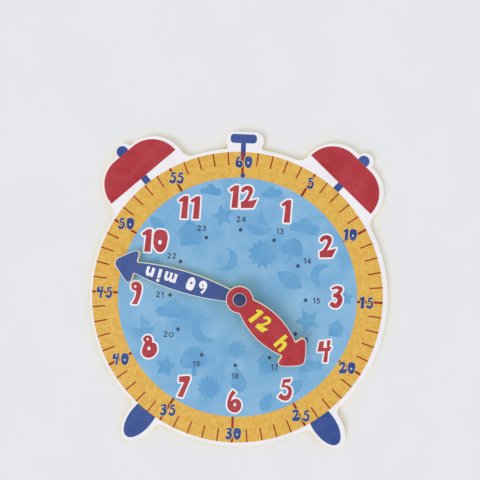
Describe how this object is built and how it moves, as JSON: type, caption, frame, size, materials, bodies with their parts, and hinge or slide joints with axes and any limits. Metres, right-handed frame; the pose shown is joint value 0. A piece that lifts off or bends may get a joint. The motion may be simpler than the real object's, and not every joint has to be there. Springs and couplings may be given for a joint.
{
  "type": "teaching clock",
  "caption": "Flat foam teaching clock in an alarm-clock outline with bells, feet and a key, whose hour and minute hands turn by hand on a rivet over a printed dial.",
  "frame": {"origin": "on the pivot axis, at the flat back of the board", "axes": "+Z out of the dial, along the pivot; +Y towards 12 o'clock; +X towards 3 o'clock"},
  "size_m": [0.2152, 0.2272, 0.0191],
  "materials": {
    "foam_yellow": "matte closed-cell foam",
    "film_white": "satin film",
    "ring_yellow": "satin ink",
    "dial_blue": "satin ink",
    "bell_red": "satin ink",
    "print_navy": "satin ink",
    "mark_red": "satin ink",
    "hand_blue": "satin ink",
    "hand_red": "satin ink",
    "rivet_navy": "moulded plastic"
  },
  "bodies": {
    "board": {"foam_board": "foam_yellow", "face_sheet": "film_white", "minute_ring_print": "ring_yellow", "dial_print": "dial_blue", "bell_prints": "bell_red", "navy_prints": "print_navy", "minute_marks": "mark_red", "rivet_barrel": "rivet_navy", "rivet_button": "rivet_navy"},
    "minute_hand": {"minute_hand_foam": "foam_yellow", "minute_hand_sheet": "film_white", "minute_hand_print": "hand_blue"},
    "hour_hand": {"hour_hand_foam": "foam_yellow", "hour_hand_sheet": "film_white", "hour_hand_print": "hand_red"}
  },
  "joints": [
    {"name": "minute_hand_turn", "type": "hinge", "parent": "board", "child": "minute_hand", "pos_m": [0, 0, 0.0085], "axis": [0, 0, -1], "continuous": true},
    {"name": "hour_hand_turn", "type": "hinge", "parent": "board", "child": "hour_hand", "pos_m": [0, 0, 0.0142], "axis": [0, 0, -1], "continuous": true}
  ]
}
